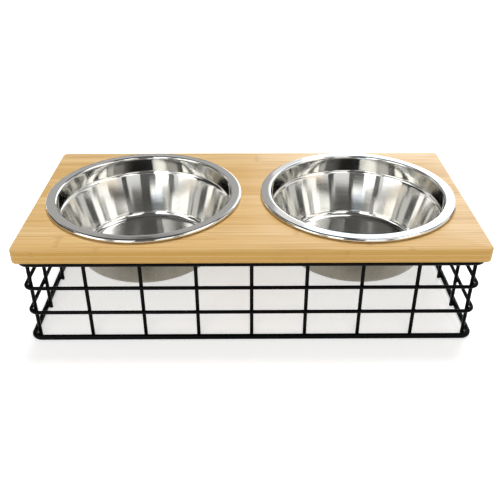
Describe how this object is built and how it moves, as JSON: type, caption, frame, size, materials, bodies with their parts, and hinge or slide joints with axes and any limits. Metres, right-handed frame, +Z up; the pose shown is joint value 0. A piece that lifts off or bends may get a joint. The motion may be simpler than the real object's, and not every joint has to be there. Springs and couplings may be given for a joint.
{
  "type": "elevated pet feeder",
  "caption": "Raised pet feeder: a bamboo board on a black welded wire stand, with round polished steel bowls that lift out of its holes.",
  "frame": {"origin": "on the floor, under the middle of the board", "axes": "+X along the board from the left bowl to the right bowl, +Y to the rear, +Z up"},
  "size_m": [0.4, 0.2, 0.1],
  "materials": {
    "bamboo": "satin lacquer",
    "bowl_steel": "mirror polished",
    "wire": "black powder coat",
    "screw_steel": "zinc plated"
  },
  "bodies": {
    "stand": {"bamboo_top": "bamboo", "base_ring": "wire", "front_left_corner_upright": "wire", "front_left_tab": "wire", "front_right_corner_upright": "wire", "front_right_tab": "wire", "front_upright_1": "wire", "front_upright_2": "wire", "front_upright_3": "wire", "front_upright_4": "wire", "front_upright_5": "wire", "front_upright_6": "wire", "front_upright_7": "wire", "left_upright_1": "wire", "left_upright_2": "wire", "left_upright_3": "wire", "lower_ring": "wire", "rear_left_corner_upright": "wire", "rear_left_tab": "wire", "rear_right_corner_upright": "wire", "rear_right_tab": "wire", "rear_upright_1": "wire", "rear_upright_2": "wire", "rear_upright_3": "wire", "rear_upright_4": "wire", "rear_upright_5": "wire", "rear_upright_6": "wire", "rear_upright_7": "wire", "right_upright_1": "wire", "right_upright_2": "wire", "right_upright_3": "wire", "tab_screws": "screw_steel", "top_ring": "wire", "upper_ring": "wire"},
    "left_bowl": {"left_bowl": "bowl_steel"},
    "right_bowl": {"right_bowl": "bowl_steel"}
  },
  "joints": [
    {"name": "left_bowl_lift", "type": "slide", "parent": "stand", "child": "left_bowl", "axis": [0, 0, 1], "range_m": [0, 0.075]},
    {"name": "right_bowl_lift", "type": "slide", "parent": "stand", "child": "right_bowl", "axis": [0, 0, 1], "range_m": [0, 0.075]}
  ]
}
